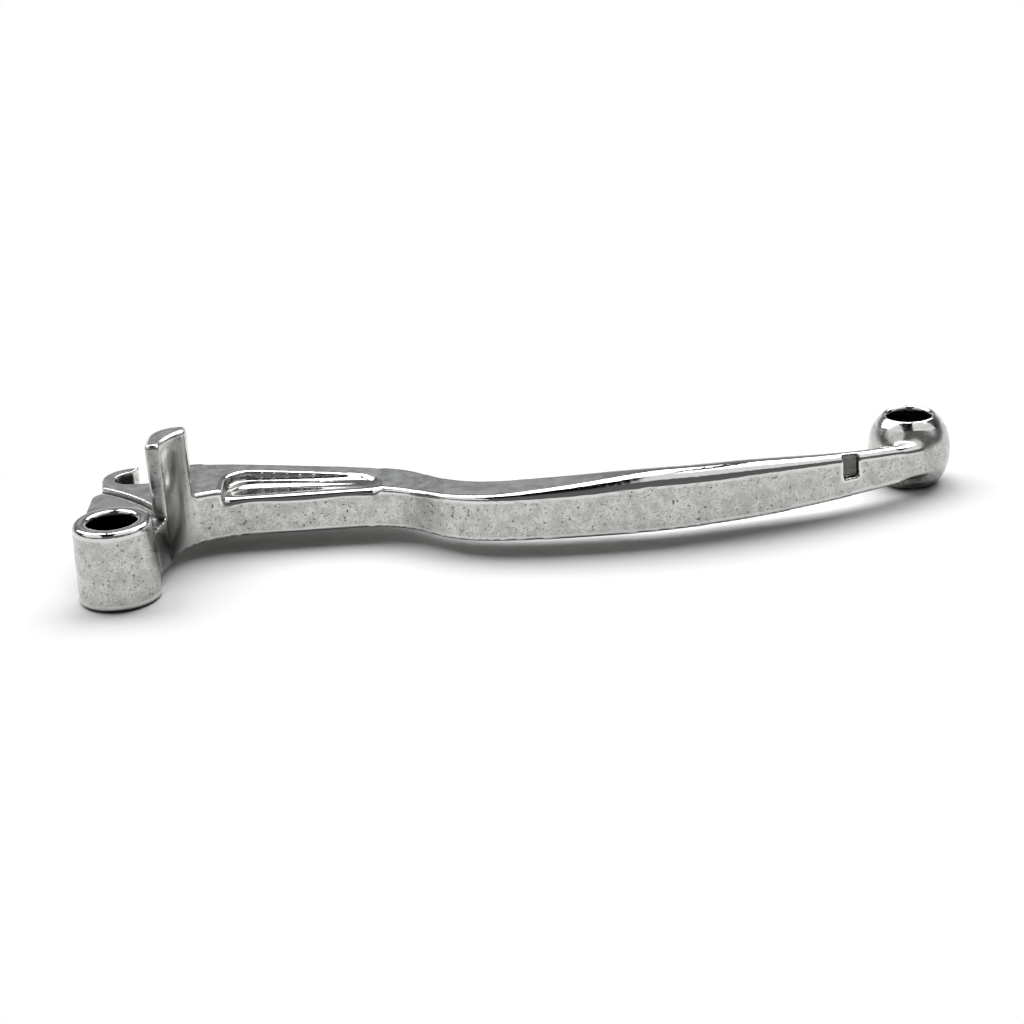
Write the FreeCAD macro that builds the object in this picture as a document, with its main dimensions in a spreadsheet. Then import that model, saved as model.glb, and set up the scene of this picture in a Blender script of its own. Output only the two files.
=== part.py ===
import FreeCAD, Part
import math
import os
import Sketcher

# Motorcycle clutch lever, one aluminium casting.
# Millimetres. The pivot bore runs along +Z through the origin, Z = 0 is the foot of the pivot boss,
# +X runs out along the blade to the ball end, and -Y is the flat side that faces the handlebar.

doc = FreeCAD.newDocument("clutch_lever")
sheet = doc.addObject("Spreadsheet::Sheet", "dims")

driving = {
    # pivot boss, slightly wider at its foot
    "bore_dia": 10.0,
    "bore_bevel": 0.5,
    "boss_top_dia": 16.0,
    "boss_foot_dia": 16.8,
    "boss_high": 16.8,
    "boss_bevel": 0.6,
    # levels
    "web_under": 3.3,
    "web_top": 12.8,
    "plate_top": 14.2,
    "tab_top": 28.7,
    # flat side of arm and blade in plan: corner by the boss, straight arm, dog-leg, long arc
    "root_x": 14.4,
    "corner_x": 22.5,
    "corner_arc": 12.9,
    "arm_near": 20.9,
    "dogleg_from": 51.0,
    "dogleg_to": 72.0,
    "blade_arc": 145.0,
    "blade_low_x": 95.5,
    "blade_low_y": 7.1,
    "blade_end": 170.6,
    "under_round": 0.8,
    # ball end
    "ball_x": 166.3,
    "ball_y": 35.5,
    "ball_dia": 17.5,
    "ball_lower": 6.81,
    "ball_upper": 8.6,
    "ball_hole_dia": 9.3,
    "ball_hole_bevel": 0.6,
    # web between boss and arm
    "web_left": -8.0,
    "web_right": 7.4,
    "web_far": 26.9,
    "web_corner": 3.0,
    # hook that holds the cable's barrel
    "seat_x": -0.2,
    "seat_y": 31.2,
    "seat_dia": 7.4,
    "hook_wall": 2.7,
    "tip_inner": 0.6,
    "tip_outer": 0.7,
    "gate_x": 8.5,
    "gate_corner": 2.2,
    "gate_far": 37.4,
    "gate_round": 1.0,
    "step_left": -5.9,
    "step_far": 26.2,
    "step_right": 7.6,
    "step_near": 11.6,
    "step_arc": 45.0,
    "wire_gap": 2.2,
    "wire_mid": 8.75,
    # switch tab that stands beside the boss
    "tab_left": 6.7,
    "tab_near": 9.2,
    "tab_far": 20.7,
    "tab_corner": 5.8,
    "tab_end": 14.1,
    "tab_edge": 1.0,
    "tab_end_round": 1.0,
    "tab_bevel": 0.6,
    # recess in the arm's top, open at the flat side, with an inset whose floor falls away from its lip
    "recess_left": 19.9,
    "recess_right": 52.0,
    "recess_far_left": 32.2,
    "recess_far_right": 28.0,
    "recess_corner": 4.8,
    "recess_ledge": 11.7,
    "lip_bevel": 0.6,
    "lip_slope": 45.0,
    "inset_left": 21.6,
    "inset_right": 50.4,
    "inset_near": 21.8,
    "inset_far_left": 29.2,
    "inset_far_right": 25.0,
    "inset_corner": 3.8,
    "inset_fall": 5.0,
    # break-away notch near the ball
    "notch_x": 151.2,
    "notch_wide": 3.5,
    "notch_deep": 1.15,
    "notch_floor": 8.2,
}

# profile of arm and blade: station, finger side, underside, top, rounds of the near and far top edges
profile = (
    (14.4, 37.2, 3.3, 14.2, 0.9, 0.7),
    (22.0, 36.8, 3.3, 13.9, 0.9, 0.7),
    (36.0, 35.05, 3.3, 13.25, 0.9, 0.7),
    (51.0, 33.6, 3.3, 12.3, 0.9, 0.7),
    (57.0, 32.1, 3.3, 12.0, 0.9, 0.7),
    (61.2, 28.5, 3.3, 12.2, 0.9, 0.7),
    (65.4, 23.9, 3.3, 12.6, 0.9, 0.7),
    (69.6, 20.5, 3.3, 12.85, 0.9, 0.8),
    (73.8, 19.0, 3.3, 12.95, 1.0, 0.9),
    (88.0, 16.7, 3.3, 13.9, 2.0, 1.4),
    (98.0, 16.5, 3.3, 14.8, 2.6, 3.0),
    (109.0, 16.0, 3.3, 15.6, 3.1, 4.2),
    (120.0, 17.4, 3.35, 15.35, 3.0, 4.5),
    (130.0, 19.1, 3.5, 15.0, 2.7, 4.4),
    (140.0, 20.9, 3.8, 14.2, 2.1, 3.9),
    (151.0, 23.4, 4.1, 13.2, 1.7, 3.2),
    (162.0, 28.2, 4.1, 12.1, 1.7, 2.8),
    (170.6, 34.0, 4.1, 11.4, 1.7, 2.6),
)
fields = ("far", "under", "top", "near_round", "far_round")
for number, (station, *values) in enumerate(profile):
    for field, value in zip(fields, values):
        driving[f"at{number:02d}_{field}"] = value

for row, (alias, value) in enumerate(driving.items(), 1):
    sheet.set(f"A{row}", alias)
    sheet.set(f"B{row}", str(value))
    sheet.setAlias(f"B{row}", alias)
doc.recompute()


class Dim:
    # a length: its value, and the formula that gives it from the driving dimensions
    def __init__(self, value, text):
        self.value = value
        self.text = text

    def __add__(self, other):
        other = as_dim(other)
        return Dim(self.value + other.value, f"({self.text} + {other.text})")

    def __sub__(self, other):
        other = as_dim(other)
        return Dim(self.value - other.value, f"({self.text} - {other.text})")

    def __rsub__(self, other):
        return as_dim(other) - self

    def __mul__(self, other):
        other = as_dim(other)
        return Dim(self.value * other.value, f"({self.text} * {other.text})")

    def __truediv__(self, other):
        other = as_dim(other)
        return Dim(self.value / other.value, f"({self.text} / {other.text})")


def as_dim(value):
    return value if isinstance(value, Dim) else Dim(float(value), str(value))


def root(dim):
    return Dim(math.sqrt(dim.value), f"sqrt({dim.text})")


def size(alias):
    return Dim(driving[alias], f"dims.{alias}")


zero = as_dim(0.0)
clear = as_dim(2.0)  # how far a cut runs on past the metal
touch = 0.01  # how close to a level an edge counts as on it
body = doc.addObject("PartDesign::Body", "clutch_lever")
body.Label = "clutch_lever"
planes = {feature.Role: feature for feature in body.Origin.OriginFeatures}


def arc_between(start, end, radius, turn):
    # the short arc from start to end that turns left (+1) or right (-1)
    chord = end - start
    rise = math.sqrt(max(radius * radius - chord.Length ** 2 / 4, 0.0))
    side = FreeCAD.Vector(-chord.y, chord.x, 0).normalize()
    centre = (start + end) / 2 + side * (rise * turn)
    first, last = (start, end) if turn > 0 else (end, start)
    begin = math.atan2(first.y - centre.y, first.x - centre.x)
    finish = math.atan2(last.y - centre.y, last.x - centre.x)
    circle = Part.Circle(centre, FreeCAD.Vector(0, 0, 1), radius)
    return Part.ArcOfCircle(circle, begin, finish)


def draw(name, plane, offset, path, tilt=zero):
    # each step of the path ends at a point: (u, v) by a straight line, (u, v, radius) by a straight line
    # whose far corner is rounded, (u, v, radius, turn) by an arc; the plane tilts about its own u axis
    sketch = body.newObject("Sketcher::SketchObject", name)
    sketch.AttachmentSupport = [(planes[plane], "")]
    sketch.MapMode = "FlatFace"
    base = FreeCAD.Vector(*(shift.value for shift in offset))
    sketch.AttachmentOffset = FreeCAD.Placement(base, FreeCAD.Rotation(FreeCAD.Vector(1, 0, 0), tilt.value))
    if tilt.value:
        sketch.setExpression("AttachmentOffset.Rotation.Angle", tilt.text)
    for letter, shift in zip("xyz", offset):
        sketch.setExpression(f"AttachmentOffset.Base.{letter}", shift.text)

    def bind(index, dim):
        sketch.setExpression(f"Constraints[{index}]", dim.text)

    def place(geometry, mark, step):
        for kind, dim in (("DistanceX", step[0]), ("DistanceY", step[1])):
            bind(sketch.addConstraint(Sketcher.Constraint(kind, -1, 1, geometry, mark, dim.value)), dim)

    points = [FreeCAD.Vector(step[0].value, step[1].value, 0) for step in path]
    count = len(path)
    enter, leave = {}, {}
    for number, step in enumerate(path):
        corner = points[number]
        enter[number] = leave[number] = corner
        if len(step) == 3:
            back = (points[number - 1] - corner).normalize()
            ahead = (points[(number + 1) % count] - corner).normalize()
            reach = step[2].value / math.tan(back.getAngle(ahead) / 2)
            enter[number] = corner + back * reach
            leave[number] = corner + ahead * reach
    sides = []
    for number, step in enumerate(path):
        start, end = leave[(number - 1) % count], enter[number]
        if len(step) == 4:
            turn = step[3]
            side = sketch.addGeometry(arc_between(start, end, step[2].value, turn))
            bind(sketch.addConstraint(Sketcher.Constraint("Radius", side, step[2].value)), step[2])
        else:
            turn = 1
            side = sketch.addGeometry(Part.LineSegment(start, end))
        sides.append((side, 1 if turn > 0 else 2, 2 if turn > 0 else 1))
    for number, step in enumerate(path):
        side, _, last = sides[number]
        after, first, _ = sides[(number + 1) % count]
        if len(step) != 3:
            sketch.addConstraint(Sketcher.Constraint("Coincident", side, last, after, first))
            place(side, last, step)
            continue
        turn = 1 if (enter[number] - points[number]).cross(leave[number] - points[number]).z < 0 else -1
        arc = sketch.addGeometry(arc_between(enter[number], leave[number], step[2].value, turn))
        spot = sketch.addGeometry(Part.Point(points[number]), True)
        sketch.addConstraint(Sketcher.Constraint("Tangent", side, last, arc, 1 if turn > 0 else 2))
        sketch.addConstraint(Sketcher.Constraint("Tangent", arc, 2 if turn > 0 else 1, after, first))
        bind(sketch.addConstraint(Sketcher.Constraint("Radius", arc, step[2].value)), step[2])
        sketch.addConstraint(Sketcher.Constraint("PointOnObject", spot, 1, side))
        sketch.addConstraint(Sketcher.Constraint("PointOnObject", spot, 1, after))
        place(spot, 1, step)
    return sketch


def shape_from(kind, name, sketch, **sizes):
    made = body.newObject(f"PartDesign::{kind}", name)
    made.Profile = sketch
    for key, value in sizes.items():
        if isinstance(value, Dim):
            setattr(made, key, value.value)
            made.setExpression(key, value.text)
        else:
            setattr(made, key, value)
    doc.recompute()
    print(name, made.State, round(made.Shape.Volume, 1), len(made.Shape.Solids))
    return made


def raised(name, path, low, high):
    return shape_from("Pad", name, draw(f"{name}_plan", "XY_Plane", (zero, zero, low), path), Length=high - low)


def sunk(name, path, low, high):
    return shape_from("Pocket", name, draw(f"{name}_plan", "XY_Plane", (zero, zero, high), path), Length=high - low)


def turned(kind, name, path, at_x=zero, at_y=zero):
    sketch = draw(f"{name}_profile", "XZ_Plane", (at_x, zero, 0 - at_y), path)
    return shape_from(kind, name, sketch, ReferenceAxis=(sketch, ["V_Axis"]), Angle=360.0)


def bevelled(name, width, wanted):
    # breaks the edges of the casting so far that meet the test
    last = body.Tip
    names = [f"Edge{number}" for number, edge in enumerate(last.Shape.Edges, 1) if wanted(edge)]
    made = body.newObject("PartDesign::Chamfer", name)
    made.Base = (last, names)
    made.Size = width.value
    made.setExpression("Size", width.text)
    doc.recompute()
    print(name, made.State, len(names), round(made.Shape.Volume, 1))
    return made


def blade_arc_y(at):
    arc = size("blade_arc")
    run = at - size("blade_low_x")
    return size("blade_low_y") + arc - root(arc * arc - run * run)


def corner_y(at):
    arc = size("corner_arc")
    run = size("corner_x") - at
    return size("arm_near") - arc + root(arc * arc - run * run)


def near_side(at):
    arm = size("arm_near")
    if at.value < driving["corner_x"]:
        return corner_y(at)
    if at.value <= driving["dogleg_from"]:
        return arm
    if at.value >= driving["dogleg_to"]:
        return blade_arc_y(at)
    share = (at - size("dogleg_from")) / (size("dogleg_to") - size("dogleg_from"))
    ease = share * share * (3 - share * 2)
    return arm + (blade_arc_y(at) - arm) * ease


def slope(field, number):
    low, high = max(number - 1, 0), min(number + 1, len(profile) - 1)
    rise = size(f"at{high:02d}_{field}") - size(f"at{low:02d}_{field}")
    return rise / (profile[high][0] - profile[low][0])


def along(field, at):
    # a smooth curve through the profile's stations
    number = max(index for index in range(len(profile) - 1) if profile[index][0] <= at or index == 0)
    span = profile[number + 1][0] - profile[number][0]
    share = (at - profile[number][0]) / span
    rest = 1 - share
    first, last = size(f"at{number:02d}_{field}"), size(f"at{number + 1:02d}_{field}")
    straight = first * (rest * rest * (1 + 2 * share)) + last * (share * share * (3 - 2 * share))
    bend = slope(field, number) * (rest * rest * share) - slope(field, number + 1) * (share * share * rest)
    return straight + bend * span


def section(name, at):
    # cross-section: flat near side, softly rounded finger side
    far, under, top, near_round, far_round = (along(field, at.value) for field in fields)
    near = near_side(at)
    under_round = size("under_round")
    path = (
        (near, top - near_round),
        (near + near_round, top, near_round, -1),
        (far - far_round, top),
        (far, top - far_round, far_round, -1),
        (far, under + under_round),
        (far - under_round, under, under_round, -1),
        (near, under),
    )
    return draw(name, "YZ_Plane", (zero, zero, at), path)


# plate with the hook for the cable's barrel, up to the arm's root
seat_x, seat_y = size("seat_x"), size("seat_y")
seat = size("seat_dia") / 2
wall = size("hook_wall")
outer = seat + wall
tip_inner, tip_outer = size("tip_inner"), size("tip_outer")
root_x = size("root_x")
corner_arc = size("corner_arc")
corner_left = size("corner_x") - corner_arc
corner_low = size("arm_near") - corner_arc
step_near = size("step_near")
step_rise = step_near - corner_low
corner_at_step = size("corner_x") - root(corner_arc * corner_arc - step_rise * step_rise)
plate_path = (
    (size("step_right"), step_near, size("step_arc"), -1),
    (corner_at_step, step_near),
    (root_x, corner_y(root_x), corner_arc, -1),
    (root_x, size("gate_far")),
    (size("gate_x"), size("gate_far"), size("gate_round")),
    (size("gate_x"), seat_y - seat, size("gate_corner")),
    (seat_x, seat_y - seat),
    (seat_x - seat, seat_y, seat, -1),
    (seat_x - tip_inner, seat_y + root(seat * seat - tip_inner * tip_inner), seat, -1),
    (seat_x + tip_outer, seat_y + root(outer * outer - tip_outer * tip_outer)),
    (seat_x, seat_y + outer, outer, 1),
    (seat_x - outer, seat_y, outer, 1),
    (size("step_left"), size("step_far")),
)
raised("hook_plate", plate_path, size("web_under"), size("plate_top"))

# web from the boss to the arm, one step lower than the plate
web_left, web_far = size("web_left"), size("web_far")
web_path = (
    (size("web_right"), zero),
    (corner_left, corner_low),
    (root_x, corner_y(root_x), corner_arc, -1),
    (root_x, web_far),
    (web_left, web_far, size("web_corner")),
    (web_left, zero),
)
raised("web", web_path, size("web_under"), size("web_top"))

# switch tab, its inner face the corner's own curve carried upward
tab_left, tab_end = size("tab_left"), size("tab_end")
tab_near, tab_far = size("tab_near"), size("tab_far")
tab_rise = tab_near - corner_low
tab_right = size("corner_x") - root(corner_arc * corner_arc - tab_rise * tab_rise)
tab_path = (
    (tab_left, tab_near, size("tab_edge")),
    (tab_right, tab_near),
    (tab_end, corner_y(tab_end), corner_arc, -1),
    (tab_end, tab_far, size("tab_end_round")),
    (tab_left, tab_far, size("tab_corner")),
)
tab_top = size("tab_top")
raised("switch_tab", tab_path, size("web_under"), tab_top)
bevelled("tab_top_rim", size("tab_bevel"), lambda edge: edge.BoundBox.ZMin > tab_top.value - touch)

# pivot boss
boss_bevel = size("boss_bevel")
boss_top = size("boss_top_dia") / 2
boss_foot = size("boss_foot_dia") / 2
boss_high = size("boss_high")
boss_path = (
    (zero, zero),
    (boss_foot - boss_bevel, zero),
    (boss_foot, boss_bevel),
    (boss_top, boss_high - boss_bevel),
    (boss_top - boss_bevel, boss_high),
    (zero, boss_high),
)
turned("Revolution", "pivot_boss", boss_path)

# arm and blade, one smooth casting from the root to the ball
section_steps = 18
reach = size("blade_end") - root_x
stations = [root_x + reach * (number / section_steps) for number in range(section_steps + 1)]
sections = [section(f"section{number:02d}", at) for number, at in enumerate(stations)]
doc.recompute()
shape_from("AdditiveLoft", "arm_and_blade", sections[0], Sections=sections[1:], Ruled=False)

# ball end: two domes with a short band between them, flat above and below round its hole
ball = size("ball_dia") / 2
lower, upper = size("ball_lower"), size("ball_upper")
flat = root(ball * ball - lower * lower)
ball_path = (
    (zero, zero),
    (flat, zero),
    (ball, lower, ball, 1),
    (ball, upper),
    (flat, upper + lower, ball, 1),
    (zero, upper + lower),
)
turned("Revolution", "ball_end", ball_path, size("ball_x"), size("ball_y"))


def bevelled_hole(name, radius, bevel, high, at_x=zero, at_y=zero):
    # a through-hole with a bevelled upper rim
    path = (
        (zero, 0 - clear),
        (radius, 0 - clear),
        (radius, high - bevel),
        (radius + bevel + clear, high + clear),
        (zero, high + clear),
    )
    return turned("Groove", name, path, at_x, at_y)


bevelled_hole("pivot_bore", size("bore_dia") / 2, size("bore_bevel"), boss_high)
bevelled_hole("ball_hole", size("ball_hole_dia") / 2, size("ball_hole_bevel"), upper + lower,
              size("ball_x"), size("ball_y"))

# recess, open at the flat side
above = size("plate_top") + clear
arm_near = size("arm_near")
ledge = size("recess_ledge")
recess_path = (
    (size("recess_left"), arm_near - clear),
    (size("recess_right"), arm_near - clear),
    (size("recess_right"), size("recess_far_right"), size("recess_corner")),
    (size("recess_left"), size("recess_far_left"), size("recess_corner")),
)
sunk("recess", recess_path, ledge, above)

# bevelled lip along the recess's open side
lip_path = (
    (size("recess_left"), 0 - clear),
    (size("recess_right"), 0 - clear),
    (size("recess_right"), clear),
    (size("recess_left"), clear),
)
lip_at = (zero, arm_near, ledge - size("lip_bevel"))
lip_sketch = draw("recess_lip_plan", "XY_Plane", lip_at, lip_path, size("lip_slope"))
shape_from("Pocket", "recess_lip", lip_sketch, Length=clear, Reversed=True)

# inset in the recess, its floor falling from the lip toward the finger side
inset_near = size("inset_near")
inset_path = (
    (size("inset_left"), zero),
    (size("inset_right"), zero),
    (size("inset_right"), size("inset_far_right") - inset_near, size("inset_corner")),
    (size("inset_left"), size("inset_far_left") - inset_near, size("inset_corner")),
)
inset_sketch = draw("inset_plan", "XY_Plane", (zero, inset_near, ledge), inset_path, 0 - size("inset_fall"))
shape_from("Pocket", "inset", inset_sketch, Length=clear, Reversed=True)

# break-away notch, square to the blade's flat side
notch_x = size("notch_x")
notch_y = blade_arc_y(notch_x)
lean = (notch_x - size("blade_low_x")) / size("blade_arc")
upright = root(1 - lean * lean)
half = size("notch_wide") / 2


def by_notch(along, inward):
    return (notch_x + upright * along - lean * inward, notch_y + lean * along + upright * inward)


deep = size("notch_deep")
notch_path = (
    by_notch(0 - half, 0 - clear),
    by_notch(half, 0 - clear),
    by_notch(half, deep),
    by_notch(0 - half, deep),
)
sunk("notch", notch_path, size("notch_floor"), above)

# slit that lets the cable's wire swing into the hook
wire = size("wire_gap") / 2
wire_path = (
    (seat_x - outer - clear, seat_y - wire),
    (seat_x, seat_y - wire),
    (seat_x + tip_outer + wire, seat_y + wire),
    (seat_x + tip_outer + wire, seat_y + outer + clear),
    (seat_x - outer - clear, seat_y + outer + clear),
)
sunk("wire_slit", wire_path, size("wire_mid") - wire, size("wire_mid") + wire)

doc.recompute()
faulty = [item.Name for item in doc.Objects if "Invalid" in item.State or "Error" in item.State]
lever = body.Tip.Shape
if faulty or lever.isNull() or not lever.isValid() or len(lever.Solids) != 1:
    raise RuntimeError(f"lever is not sound: {faulty}, {len(lever.Solids)} solids")
os.makedirs("parts", exist_ok=True)
body.Shape.exportStep("parts/clutch_lever.step")
print("clutch_lever", round(lever.Volume, 1), lever.BoundBox)
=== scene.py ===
import bpy
import math
import numpy as np
from mathutils import Matrix, Vector


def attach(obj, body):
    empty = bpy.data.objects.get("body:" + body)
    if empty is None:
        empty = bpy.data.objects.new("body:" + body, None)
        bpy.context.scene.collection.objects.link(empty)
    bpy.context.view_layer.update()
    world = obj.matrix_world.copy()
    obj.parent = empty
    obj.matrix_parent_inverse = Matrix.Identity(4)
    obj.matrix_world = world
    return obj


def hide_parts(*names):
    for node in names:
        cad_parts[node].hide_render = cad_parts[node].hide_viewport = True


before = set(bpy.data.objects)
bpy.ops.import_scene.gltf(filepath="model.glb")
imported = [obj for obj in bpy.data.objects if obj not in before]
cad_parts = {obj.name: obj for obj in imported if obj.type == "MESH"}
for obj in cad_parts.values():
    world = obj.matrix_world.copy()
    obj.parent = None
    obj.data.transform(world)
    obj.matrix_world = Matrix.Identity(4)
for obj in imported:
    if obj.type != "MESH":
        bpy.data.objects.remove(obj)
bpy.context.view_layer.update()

mm = 0.001


# node helpers

mixSockets = {"RGBA": (6, 7, 2), "FLOAT": (2, 3, 0)}    # both inputs and the output of a mix node


def addNode(tree, kind, place, **settings):
    node = tree.nodes.new(kind)
    node.location = place
    for key, value in settings.items():
        setattr(node, key, value)
    return node


def setInputs(node, **values):
    for key, value in values.items():
        node.inputs[key.replace("_", " ")].default_value = value
    return node


def join(tree, start, end, socket, startSocket=0):
    tree.links.new(start.outputs[startSocket], end.inputs[socket])


def give(tree, socket, value):
    if isinstance(value, bpy.types.NodeSocket):
        tree.links.new(value, socket)
    else:
        socket.default_value = value


def newTree(block):
    block.use_nodes = True
    block.node_tree.nodes.clear()
    return block.node_tree


def maths(tree, place, operation, first, second):
    node = addNode(tree, "ShaderNodeMath", place, operation=operation)
    give(tree, node.inputs[0], first)
    give(tree, node.inputs[1], second)
    return node.outputs[0]


def times(tree, place, first, second):
    return maths(tree, place, "MULTIPLY", first, second)


def mixOf(tree, place, share, first, second, kind="RGBA"):
    node = addNode(tree, "ShaderNodeMix", place, data_type=kind)
    start, end, result = mixSockets[kind]
    give(tree, node.inputs[0], share)
    give(tree, node.inputs[start], first)
    give(tree, node.inputs[end], second)
    return node.outputs[result]


def rangeOf(tree, place, value, span, result=(0.0, 1.0)):
    node = addNode(tree, "ShaderNodeMapRange", place, interpolation_type="SMOOTHSTEP")
    setInputs(node, From_Min=span[0], From_Max=span[1], To_Min=result[0], To_Max=result[1])
    give(tree, node.inputs["Value"], value)
    return node.outputs[0]


# the casting: a fine skin over the lever with its edges tumbled soft

casting = {
    "voxel": 0.372 * mm,            # grain of the skin
    "weld": 0.002 * mm,             # corners this near are one
    "passShare": 0.5,               # how far one softening pass goes
    "softening": 2,                 # passes that round every edge over
    "boss": (8.4 * mm, 8.0 * mm, 16.8 * mm),        # radius at its foot and top, and its height
    "bossEnds": 1.2 * mm,           # not trued at its foot and top
    "ballAxis": (166.3 * mm, 35.5 * mm),
    "ballDomes": (6.81 * mm, 8.6 * mm),             # heights of both dome centres
    "ballRadius": 8.75 * mm,
    "ballHalf": 7.2 * mm,           # trued this far up and down from its middle
    "trueReach": 0.2 * mm,          # skin this near to a round face is put exactly on it
    "neckWide": ((6.2 * mm, 7.4 * mm), (11.0 * mm, 13.0 * mm)),    # ring that fades in and out
    "neckHigh": ((1.5 * mm, 3.0 * mm), (13.0 * mm, 14.0 * mm)),
    "neckPasses": 30,               # passes that blend the blade into the ball
    "recess": ((19.7 * mm, 20.8 * mm, 10.0 * mm), (52.2 * mm, 32.6 * mm, 12.2 * mm)),
    "recessPasses": 10,             # passes that soften the recess
    "recessRim": ((19.4 * mm, 20.6 * mm, 10.0 * mm), (52.6 * mm, 33.2 * mm, 14.4 * mm)),
    "rimPasses": 7,                 # passes that soften its rim
    "boxFade": 0.6 * mm,            # a softened box fades out over this
}


def makeSkin(node):
    mesh = node.data.copy()
    skin = bpy.data.objects.new("leverCasting", mesh)
    bpy.context.scene.collection.objects.link(skin)
    weld = skin.modifiers.new("weld", "WELD")
    weld.merge_threshold = casting["weld"]
    remesh = skin.modifiers.new("skin", "REMESH")
    remesh.mode = "VOXEL"
    remesh.voxel_size = casting["voxel"]
    remesh.adaptivity = 0.0
    hug = skin.modifiers.new("hug", "SHRINKWRAP")
    hug.target = node
    hug.wrap_method = "NEAREST_SURFACEPOINT"
    hug.wrap_mode = "ON_SURFACE"
    soft = skin.modifiers.new("soft", "SMOOTH")
    soft.factor = casting["passShare"]
    soft.iterations = casting["softening"]
    depsgraph = bpy.context.evaluated_depsgraph_get()
    done = bpy.data.meshes.new_from_object(skin.evaluated_get(depsgraph))
    skin.modifiers.clear()
    skin.data = done
    bpy.data.meshes.remove(mesh)
    done.shade_smooth()
    return skin


def ramp(values, span):
    low, high = span
    share = np.clip((values - low) / (high - low), 0.0, 1.0)
    return share * share * (3.0 - 2.0 * share)


def rampBetween(values, rise, fall):
    return ramp(values, rise) * (1.0 - ramp(values, fall))


def fromAxis(place, axis):
    return np.hypot(place[:, 0] - axis[0], place[:, 1] - axis[1])


def inBox(place, low, high):
    return ((place > np.array(low)) & (place < np.array(high))).all(1)


def softBox(place, low, high):
    fade = casting["boxFade"]
    share = np.ones(len(place))
    for values, start, end in zip(place.T, low, high):
        share *= rampBetween(values, (start - fade, start), (end, end + fade))
    return share


def readSkin(mesh):
    place = np.empty(len(mesh.vertices) * 3)
    mesh.vertices.foreach_get("co", place)
    normal = np.empty(len(mesh.vertices) * 3)
    mesh.vertex_normals.foreach_get("vector", normal)
    return place.reshape(-1, 3), normal.reshape(-1, 3)


def neighbourMean(mesh):
    count = len(mesh.vertices)
    ends = np.empty(len(mesh.edges) * 2, int)
    mesh.edges.foreach_get("vertices", ends)
    first, last = ends.reshape(-1, 2).T
    valence = np.bincount(first, minlength=count) + np.bincount(last, minlength=count)

    def mean(values):
        columns = values.reshape(count, -1).T
        total = [np.bincount(first, c[last], count) + np.bincount(last, c[first], count) for c in columns]
        return (np.array(total) / valence).T.reshape(values.shape)

    return mean


def trueBoss(place):
    foot, top, high = casting["boss"]
    wide = fromAxis(place, (0.0, 0.0))
    radius = foot + (top - foot) * place[:, 2] / high
    onBoss = abs(wide - radius) < casting["trueReach"]
    onBoss &= abs(place[:, 2] - high / 2) < high / 2 - casting["bossEnds"]
    place[onBoss, :2] *= (radius / wide)[onBoss, None]


def trueBall(place):
    lower, upper = casting["ballDomes"]
    radius = casting["ballRadius"]
    middle = np.empty_like(place)
    middle[:, :2] = casting["ballAxis"]
    middle[:, 2] = np.clip(place[:, 2], lower, upper)
    out = place - middle
    wide = np.linalg.norm(out, axis=1)
    onBall = abs(wide - radius) < casting["trueReach"]
    onBall &= abs(place[:, 2] - (lower + upper) / 2) < casting["ballHalf"]
    place[onBall] = middle[onBall] + out[onBall] * (radius / wide[onBall])[:, None]


def blend(place, mean, share, passes):
    for _ in range(passes):
        place += casting["passShare"] * share[:, None] * (mean(place) - place)


def softenZones(mesh, mean):
    place, _ = readSkin(mesh)
    trueBoss(place)
    trueBall(place)
    neck = rampBetween(fromAxis(place, casting["ballAxis"]), *casting["neckWide"])
    neck *= rampBetween(place[:, 2], *casting["neckHigh"])
    blend(place, mean, neck, casting["neckPasses"])
    blend(place, mean, softBox(place, *casting["recessRim"]), casting["rimPasses"])
    blend(place, mean, softBox(place, *casting["recess"]), casting["recessPasses"])
    mesh.vertices.foreach_set("co", place.ravel())
    mesh.update()


# wear on the casting: where it is polished, and where it is painted darker: painted shade in hollows,
# holes, the corner from boss to tab, the tab's end and lower edges, and darker in the notch
# a facing pair is the lean of a face where its mark starts and where it is full

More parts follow.
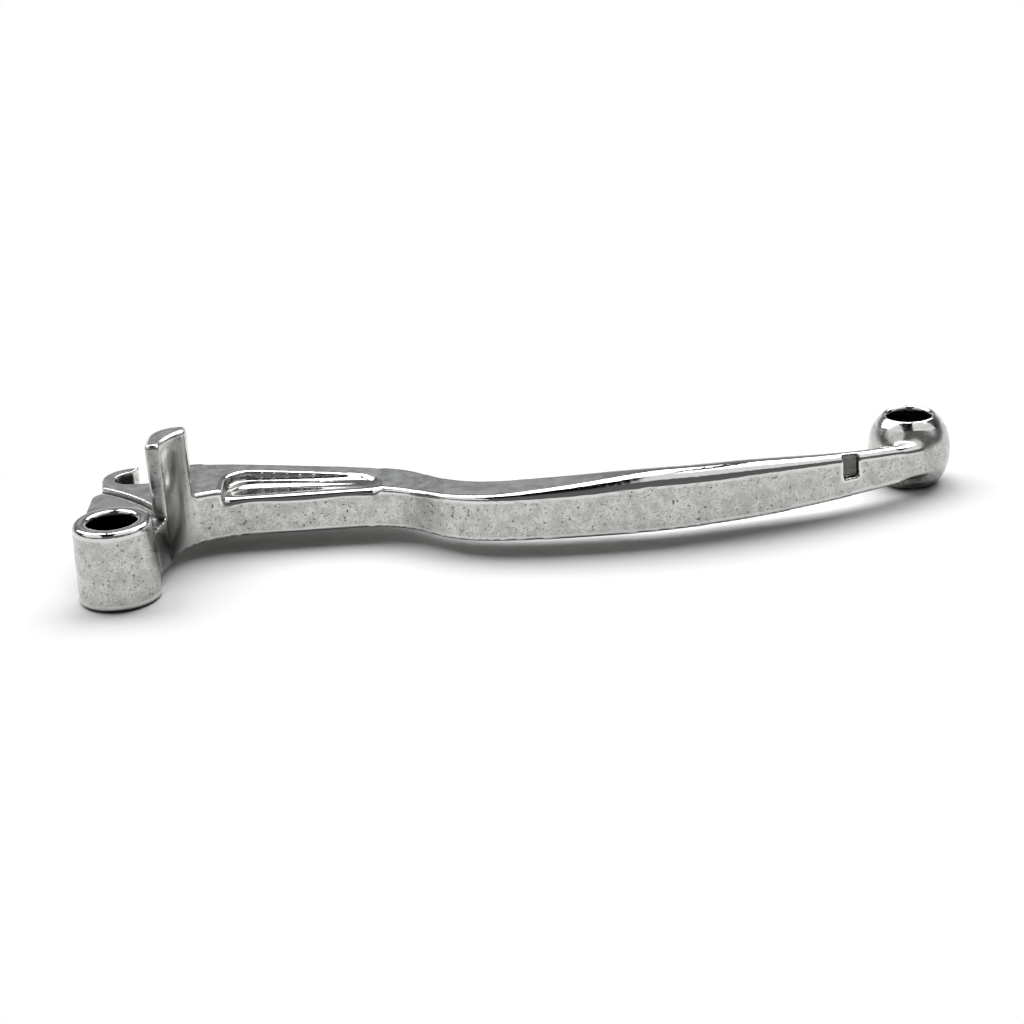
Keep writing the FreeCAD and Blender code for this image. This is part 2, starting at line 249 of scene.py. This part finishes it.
wear = {
    "reach": 4,                     # passes that spread the edge and hollow marks
    "edgeBend": (0.0105, 0.022),    # bend where polish starts and where it is full
    "hollowBend": (0.017, 0.10),    # bend where painted shade starts and where it is full
    # painted shade in the hollows
    "hollowShade": 0.8,
    "holes": (                      # holes with painted shade: axis, reach, rim height and how dark
        (0.0, 0.0, 5.25 * mm, 16.8 * mm, 1.0),
        (*casting["ballAxis"], 4.9 * mm, 15.4 * mm, 0.85),
        (-0.2 * mm, 31.2 * mm, 4.1 * mm, 14.2 * mm, 0.95),
    ),
    "holeDepth": 0.9 * mm,          # painted shade in a hole is full this far under its rim
    "footFacing": (0.1, 0.4),       # lower edges, leaning down
    # painted shade on the lower edges, where they face the shadowed floor
    "footShade": 0.85,
    "flatSide": (95.5 * mm, 152.1 * mm, 145.0 * mm),    # arc of the blade's flat side: centre and radius
    "notch": (151.2 * mm, 1.85 * mm, 8.0 * mm),         # middle, half width and floor
    "notchDeep": (0.15 * mm, 1.4 * mm),                 # its darkening, measured in from the flat side
    # darker inside the notch
    "notchDark": 0.8,
    "valley": ((7.0 * mm, -1.0 * mm, -1.0 * mm), (13.5 * mm, 17.0 * mm, 15.0 * mm)),    # from boss to tab
    "valleyFacing": (0.6, 0.95),
    "valleyWide": (7.0 * mm, 8.6 * mm),     # its painted shade starts on the boss
    "valleyNear": (-1.0 * mm, 4.5 * mm),    # fades in past the boss's side
    "valleyDeep": (9.0 * mm, 16.0 * mm),    # fades out towards the arm
    "valleyHigh": (10.0 * mm, 15.0 * mm),   # and up the tab
    # painted shade in the corner from boss to tab
    "valleyShade": 0.7,
    "tab": ((4.5 * mm, 5.0 * mm, 1.0 * mm), (16.0 * mm, 21.5 * mm, 29.0 * mm)),
    "tabFade": (11.5 * mm, 16.0 * mm),      # the tab's marks fade out towards the arm
    "tabFacing": (-0.3, 0.1),               # all but its left side
    "tabPolish": 0.42,
    "tabEnd": 10.5 * mm,                    # its narrow end lies before this
    "endFacing": (0.80, 0.95),
    # painted shade on the tab's narrow end
    "endShade": 0.35,
    "leftFacing": (0.2, 0.5),
    "endDull": 0.8,                 # share of polish lost on the narrow end and the left side
    "recessFacing": (0.1, 0.4),
    "recessPolish": 0.85,
    "ballFade": (10.0 * mm, 13.0 * mm),     # the ball's polish fades out along the blade
    "ballFacing": (0.1, 0.3),
    "ballPolish": 0.15,
    "bladeAlong": ((92.0 * mm, 110.0 * mm), (156.0 * mm, 160.0 * mm)),    # polish that fades in and out
    "bladeFacing": (0.12, 0.35),            # on the blade's upper rounds
    "bladePolish": 0.85,
    "quiet": (                      # boxes whose edges keep only this share of polish
        ((-9.0 * mm, 10.0 * mm, 4.0 * mm), (6.5 * mm, 36.0 * mm, 16.0 * mm), 0.15),
        ((4.5 * mm, 5.0 * mm, 26.5 * mm), (16.0 * mm, 21.5 * mm, 29.0 * mm), 0.35),
    ),
}


def bendOf(place, normal, mean):
    bend = ((place - mean(place)) * normal).sum(1) / casting["voxel"]
    for _ in range(wear["reach"]):
        bend += casting["passShare"] * (mean(bend) - bend)
    return bend


def inNotch(place):
    middle, half, floorHigh = wear["notch"]
    nearest, deepest = wear["notchDeep"]
    centreX, centreY, radius = wear["flatSide"]
    deep = place[:, 1] - centreY + np.sqrt(radius ** 2 - (place[:, 0] - centreX) ** 2)
    across = (abs(place[:, 0] - middle) < half) & (place[:, 2] > floorHigh)
    return across & (deep > nearest) & (deep < deepest)


def inValley(place, normal):
    share = inBox(place, *wear["valley"]) * ramp(normal[:, 0], wear["valleyFacing"])
    share *= ramp(place[:, 0], wear["valleyWide"])
    share *= rampBetween(place[:, 1], wear["valleyNear"], wear["valleyDeep"])
    return share * (1.0 - ramp(place[:, 2], wear["valleyHigh"]))


def onTab(place):
    return inBox(place, *wear["tab"]) * (1.0 - ramp(place[:, 0], wear["tabFade"]))


def onTabEnd(place, normal):
    return onTab(place) * (place[:, 1] < wear["tabEnd"]) * ramp(-normal[:, 1], wear["endFacing"])


# painted shade: darker in hollows, on lower edges, in the corner from boss to tab, on the tab's narrow end
# and in the holes; darker inside the notch
def paintedShadeOf(place, normal, bend):
    lowerEdges = ramp(bend, wear["edgeBend"]) * ramp(-normal[:, 2], wear["footFacing"])
    paintedShade = [
        wear["hollowShade"] * ramp(-bend, wear["hollowBend"]),
        wear["footShade"] * lowerEdges,
        wear["notchDark"] * inNotch(place),
        wear["valleyShade"] * inValley(place, normal),
        wear["endShade"] * onTabEnd(place, normal),
    ]
    for x, y, reach, rim, dark in wear["holes"]:
        inside = fromAxis(place, (x, y)) < reach
        paintedShade.append(dark * inside * ramp(rim - place[:, 2], (0.0, wear["holeDepth"])))
    return np.maximum.reduce(paintedShade)


def polishOf(place, normal, bend):
    right, _, up = normal.T
    onRecess = inBox(place, *casting["recess"]) * ramp(up, wear["recessFacing"])
    fromBall = fromAxis(place, casting["ballAxis"])
    onBall = (1.0 - ramp(fromBall, wear["ballFade"])) * ramp(up, wear["ballFacing"])
    onBlade = rampBetween(place[:, 0], *wear["bladeAlong"]) * ramp(up, wear["bladeFacing"])
    polish = np.maximum.reduce([
        ramp(bend, wear["edgeBend"]),
        wear["recessPolish"] * onRecess,
        wear["tabPolish"] * onTab(place) * ramp(right, wear["tabFacing"]),
        wear["ballPolish"] * onBall,
        wear["bladePolish"] * onBlade,
    ])
    leftSide = onTab(place) * ramp(-right, wear["leftFacing"])
    polish *= 1.0 - wear["endDull"] * np.maximum(onTabEnd(place, normal), leftSide)
    for low, high, keep in wear["quiet"]:
        polish[inBox(place, low, high)] *= keep
    return polish


def markSkin(mesh, mean):
    place, normal = readSkin(mesh)
    bend = bendOf(place, normal, mean)
    # polish, and the painted shade as its own mark
    marks = {"polish": polishOf(place, normal, bend), "paintedShade": paintedShadeOf(place, normal, bend)}
    for name, values in marks.items():
        mark = mesh.attributes.new(name, "FLOAT", "POINT")
        mark.data.foreach_set("value", values)
    print("marks", {name: round(float(values.mean()), 3) for name, values in marks.items()})


# tumbled aluminium: satin faces with specks and soft clouds, polished edges, tops painted darker as shade,
# painted shade in the hollows

alloy = {
    "satin": (0.56, 0.56, 0.54, 1.0),
    "cloudy": (0.47, 0.47, 0.455, 1.0),
    "flat": (0.26, 0.264, 0.268, 1.0),      # painted shade: tops darker, in place of the grey that they reflect
    "grit": (0.36, 0.36, 0.35, 1.0),
    "speck": (0.10, 0.10, 0.095, 1.0),
    "bright": (0.66, 0.66, 0.65, 1.0),
    # painted shade, the darkest tone
    "paintedShadeTone": (0.025, 0.025, 0.022, 1.0),
    "satinRough": (0.24, 0.36),             # smoother and rougher clouds
    "flatRough": (0.31, 0.42),
    "brightRough": 0.05,
    "clouds": (420.0, 4.0, 0.6),            # scale, detail and roughness of each pattern
    "gritGrain": (2600.0, 2.0, 0.6),
    "specks": (1500.0, 3.0, 0.6),
    "dents": (900.0, 3.0, 0.55),
    "cloudSpan": (0.40, 0.64),              # height of a pattern where it starts and where it is full
    "gritSpan": (0.45, 0.70),
    "speckSpan": (0.60, 0.68),
    "roughSpan": (0.35, 0.65),
    "levelSpan": (0.88, 0.98),              # lean of a face that counts as a top
    "sideSpan": (0.8, 0.3),                 # lean of a face from top to side
    "gritOnTop": 0.3,                       # share of grit and specks on a top
    "gritFrom": 0.7,                        # polish from which no grit is left
    "dentHigh": 0.005 * mm,
    "brightDents": 0.15,                    # share of the dents left where it is polished
}


def grain(tree, place, spot, pattern):
    scale, detail, rough = alloy[pattern]
    node = addNode(tree, "ShaderNodeTexNoise", place)
    setInputs(node, Scale=scale, Detail=detail, Roughness=rough)
    give(tree, node.inputs["Vector"], spot)
    return node.outputs["Fac"]


def markOf(tree, place, name):
    return addNode(tree, "ShaderNodeAttribute", place, attribute_name=name).outputs["Fac"]


def makeAlloy():
    material = bpy.data.materials.new("tumbledAlloy")
    tree = newTree(material)
    output = addNode(tree, "ShaderNodeOutputMaterial", (1400, 0))
    metal = setInputs(addNode(tree, "ShaderNodeBsdfPrincipled", (1100, 0)), Metallic=1.0)
    join(tree, metal, output, "Surface")
    coord = addNode(tree, "ShaderNodeTexCoord", (-1200, 0))
    spot = coord.outputs["Object"]
    polish = markOf(tree, (-900, -500), "polish")
    # painted shade mark
    paintedShade = markOf(tree, (-900, -650), "paintedShade")
    facing = addNode(tree, "ShaderNodeSeparateXYZ", (-900, -300))
    join(tree, coord, facing, 0, "Normal")
    up = facing.outputs["Z"]
    level = rangeOf(tree, (-650, -100), up, alloy["levelSpan"])
    side = rangeOf(tree, (-650, -300), up, alloy["sideSpan"], (alloy["gritOnTop"], 1.0))
    dull = rangeOf(tree, (-650, -500), polish, (alloy["gritFrom"], 0.0))
    face = times(tree, (-450, -400), side, dull)

    # colour, from the satin ground up to the painted shade
    cloud = grain(tree, (-900, 200), spot, "clouds")
    cloudy = rangeOf(tree, (-650, 200), cloud, alloy["cloudSpan"])
    gritty = rangeOf(tree, (-650, 400), grain(tree, (-900, 400), spot, "gritGrain"), alloy["gritSpan"])
    dotted = rangeOf(tree, (-650, 600), grain(tree, (-900, 600), spot, "specks"), alloy["speckSpan"])
    colour = mixOf(tree, (-200, 100), cloudy, alloy["satin"], alloy["cloudy"])
    # painted shade on the tops
    colour = mixOf(tree, (-100, 250), level, colour, alloy["flat"])
    colour = mixOf(tree, (0, 100), times(tree, (-200, 400), gritty, face), colour, alloy["grit"])
    colour = mixOf(tree, (200, 100), times(tree, (-200, 600), dotted, face), colour, alloy["speck"])
    colour = mixOf(tree, (400, 100), polish, colour, alloy["bright"])
    # painted shade in hollows, holes, corners and on lower edges
    colour = mixOf(tree, (600, 100), paintedShade, colour, alloy["paintedShadeTone"])
    give(tree, metal.inputs["Base Color"], colour)

    # roughness: clouds on sides and tops, smooth where it is polished
    satinRough = rangeOf(tree, (-200, -200), cloud, alloy["roughSpan"], alloy["satinRough"])
    flatRough = rangeOf(tree, (-200, -450), cloud, alloy["roughSpan"], alloy["flatRough"])
    rough = mixOf(tree, (200, -200), level, satinRough, flatRough, "FLOAT")
    rough = mixOf(tree, (400, -200), polish, rough, alloy["brightRough"], "FLOAT")
    give(tree, metal.inputs["Roughness"], rough)

    # fine dents
    bump = setInputs(addNode(tree, "ShaderNodeBump", (800, -450)), Distance=alloy["dentHigh"])
    give(tree, bump.inputs["Height"], grain(tree, (400, -450), spot, "dents"))
    strength = rangeOf(tree, (600, -600), polish, (0.0, 1.0), (1.0, alloy["brightDents"]))
    give(tree, bump.inputs["Strength"], strength)
    join(tree, bump, metal, "Normal")
    return material


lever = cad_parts["clutch_lever"]
skin = makeSkin(lever)
mean = neighbourMean(skin.data)
softenZones(skin.data, mean)
markSkin(skin.data, mean)
skin.data.materials.clear()
skin.data.materials.append(makeAlloy())
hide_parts("clutch_lever")
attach(skin, "root")
print("casting", len(skin.data.polygons), "faces")


# studio: white floor, soft boxes high behind the lever, a dim room with two windows in front

studio = {
    "floorHalf": 4.0,
    "floorWhite": (0.95, 0.95, 0.95, 1.0),
    "patch": (115.0 * mm, 55.0 * mm),   # half sizes of the oval that keeps the shadow
    "paleFrom": (0.85, 1.45),       # how far out, in ovals, the floor turns plain white
    "aim": (0.08, 0.02, 0.0),       # point that the oval and the boxes are set around
    "boxFar": 0.70,                 # from the lever to the boxes
    "boxTilt": 62.0,                # height of the boxes over the horizon, seen from the lever
    "boxDeep": 0.64,
    "boxes": ((-0.85, -0.14), (-0.10, 0.24), (0.28, 0.72)),    # left and right end of each
    "boxLight": 3.95,
    "windows": (                    # left and right ends, then sill and top as shares of half a turn
        ((-0.92, -0.36), (0.16, 0.55)),
        ((0.10, 0.93), (0.28, 0.55)),
    ),
    "windowEdge": 0.03,
    "windowTone": 1.0,
    "roomFill": 0.18,               # share of the room's glow that lights the floor
    "room": (                       # brightness round from the front, over the top, to the back
        (0.0, 0.15), (0.25, 0.14), (0.34, 0.006), (0.56, 0.002),
        (0.78, 0.10), (0.86, 0.20), (0.92, 0.36), (0.965, 1.0),
    ),
}


def seenRays(tree, place):
    x, y = place
    rays = addNode(tree, "ShaderNodeLightPath", place).outputs
    direct = maths(tree, (x + 200, y), "MAXIMUM", rays["Is Camera Ray"], rays["Is Glossy Ray"])
    return maths(tree, (x + 400, y), "MAXIMUM", direct, rays["Is Transmission Ray"])


def makeFloor():
    half = studio["floorHalf"]
    mesh = bpy.data.meshes.new("floor")
    corners = [(-half, -half, 0), (half, -half, 0), (half, half, 0), (-half, half, 0)]
    mesh.from_pydata(corners, [], [(0, 1, 2, 3)])
    floor = bpy.data.objects.new("floor", mesh)
    bpy.context.scene.collection.objects.link(floor)
    material = bpy.data.materials.new("paleFloor")
    tree = newTree(material)
    output = addNode(tree, "ShaderNodeOutputMaterial", (800, 0))
    chalk = setInputs(addNode(tree, "ShaderNodeBsdfDiffuse", (300, 100)), Color=studio["floorWhite"])
    plain = setInputs(addNode(tree, "ShaderNodeEmission", (300, -100)), Strength=1.0)
    coord = addNode(tree, "ShaderNodeTexCoord", (-700, 0))
    aim = studio["aim"]
    wide, deep = studio["patch"]
    around = addNode(tree, "ShaderNodeMapping", (-500, 0))
    setInputs(around, Location=(-aim[0] / wide, -aim[1] / deep, 0), Scale=(1 / wide, 1 / deep, 1))
    join(tree, coord, around, "Vector", "Object")
    far = addNode(tree, "ShaderNodeVectorMath", (-300, 0), operation="LENGTH")
    join(tree, around, far, 0)
    pale = rangeOf(tree, (-100, 0), far.outputs["Value"], studio["paleFrom"])
    both = addNode(tree, "ShaderNodeMixShader", (550, 0))
    give(tree, both.inputs[0], times(tree, (300, 300), pale, seenRays(tree, (-300, 400))))
    join(tree, chalk, both, 1)
    join(tree, plain, both, 2)
    join(tree, both, output, "Surface")
    mesh.materials.append(material)


def makeBoxes():
    tilt = math.radians(studio["boxTilt"])
    aim = Vector(studio["aim"])
    away = Vector((0, math.cos(tilt), math.sin(tilt))) * studio["boxFar"]
    for number, (left, right) in enumerate(studio["boxes"]):
        light = bpy.data.lights.new(f"backBox{number}", "AREA")
        light.shape = "RECTANGLE"
        light.size = right - left
        light.size_y = studio["boxDeep"]
        light.energy = studio["boxLight"] * math.pi * light.size * light.size_y
        box = bpy.data.objects.new(f"backBox{number}", light)
        box.location = Vector(((left + right) / 2, aim.y, aim.z)) + away
        box.rotation_euler = (tilt - math.pi / 2, 0, 0)
        bpy.context.scene.collection.objects.link(box)


def between(tree, place, value, span):
    x, y = place
    low, high = span
    edge = studio["windowEdge"]
    rise = rangeOf(tree, place, value, (low - edge, low + edge))
    fall = rangeOf(tree, (x, y - 250), value, (high + edge, high - edge))
    return times(tree, (x + 200, y), rise, fall)


def makeRoom():
    world = bpy.data.worlds.new("room")
    bpy.context.scene.world = world
    tree = newTree(world)
    output = addNode(tree, "ShaderNodeOutputWorld", (1300, 0))
    glow = addNode(tree, "ShaderNodeBackground", (1100, 0))
    join(tree, glow, output, "Surface")
    spot = addNode(tree, "ShaderNodeTexCoord", (-600, 0))
    split = addNode(tree, "ShaderNodeSeparateXYZ", (-400, 0))
    join(tree, spot, split, 0, "Generated")
    front = times(tree, (-200, -100), split.outputs["Y"], -1.0)
    turn = maths(tree, (0, 0), "ARCTAN2", split.outputs["Z"], front)    # 0 in front, half a turn behind
    share = maths(tree, (150, 0), "DIVIDE", turn, math.pi)
    tones = addNode(tree, "ShaderNodeValToRGB", (300, 0))
    stops = tones.color_ramp.elements
    while len(stops) < len(studio["room"]):
        stops.new(0.5)
    for stop, (position, tone) in zip(stops, studio["room"]):
        stop.position = position
        stop.color = (tone, tone, tone, 1.0)
    give(tree, tones.inputs["Fac"], share)
    panes = []
    for row, (wide, high) in enumerate(studio["windows"]):
        across = between(tree, (0, -400 - 1000 * row), split.outputs["X"], wide)
        upright = between(tree, (0, -900 - 1000 * row), share, high)
        panes.append(times(tree, (400, -400 - 1000 * row), across, upright))
    window = maths(tree, (600, -500), "MAXIMUM", *panes)
    lit = rangeOf(tree, (800, -500), window, (0.0, 1.0), (0.0, studio["windowTone"]))
    give(tree, glow.inputs["Color"], maths(tree, (950, 100), "MAXIMUM", tones.outputs[0], lit))
    strength = rangeOf(tree, (800, 300), seenRays(tree, (200, 400)), (0.0, 1.0), (studio["roomFill"], 1.0))
    give(tree, glow.inputs["Strength"], strength)


makeFloor()
makeBoxes()
makeRoom()
print("studio set")


# camera, standing in front of the lever's flat side

shot = {
    "place": (80.0 * mm, -429.5 * mm, 180.4 * mm),
    "pitch": 21.32,
    "roll": 3.84,
    "pictureWide": 1024,            # pixels
    "focal": 2300.0,                # focal length in the same pixels
    "nearest": 0.01,
}


def makeCamera():
    pitch, roll = math.radians(shot["pitch"]), math.radians(shot["roll"])
    ahead = Vector((0, math.cos(pitch), -math.sin(pitch)))
    right = Vector((1, 0, 0))
    down = ahead.cross(right)
    across = right * math.cos(roll) + down * math.sin(roll)
    drop = down * math.cos(roll) - right * math.sin(roll)
    data = bpy.data.cameras.new("camera")
    data.lens = shot["focal"] / shot["pictureWide"] * data.sensor_width
    data.clip_start = shot["nearest"]
    camera = bpy.data.objects.new("camera", data)
    turn = Matrix((across, -drop, -ahead)).transposed().to_4x4()
    camera.matrix_world = Matrix.Translation(Vector(shot["place"])) @ turn
    bpy.context.scene.collection.objects.link(camera)
    bpy.context.scene.camera = camera


makeCamera()
bpy.context.scene.view_settings.view_transform = "Standard"
print("camera set")
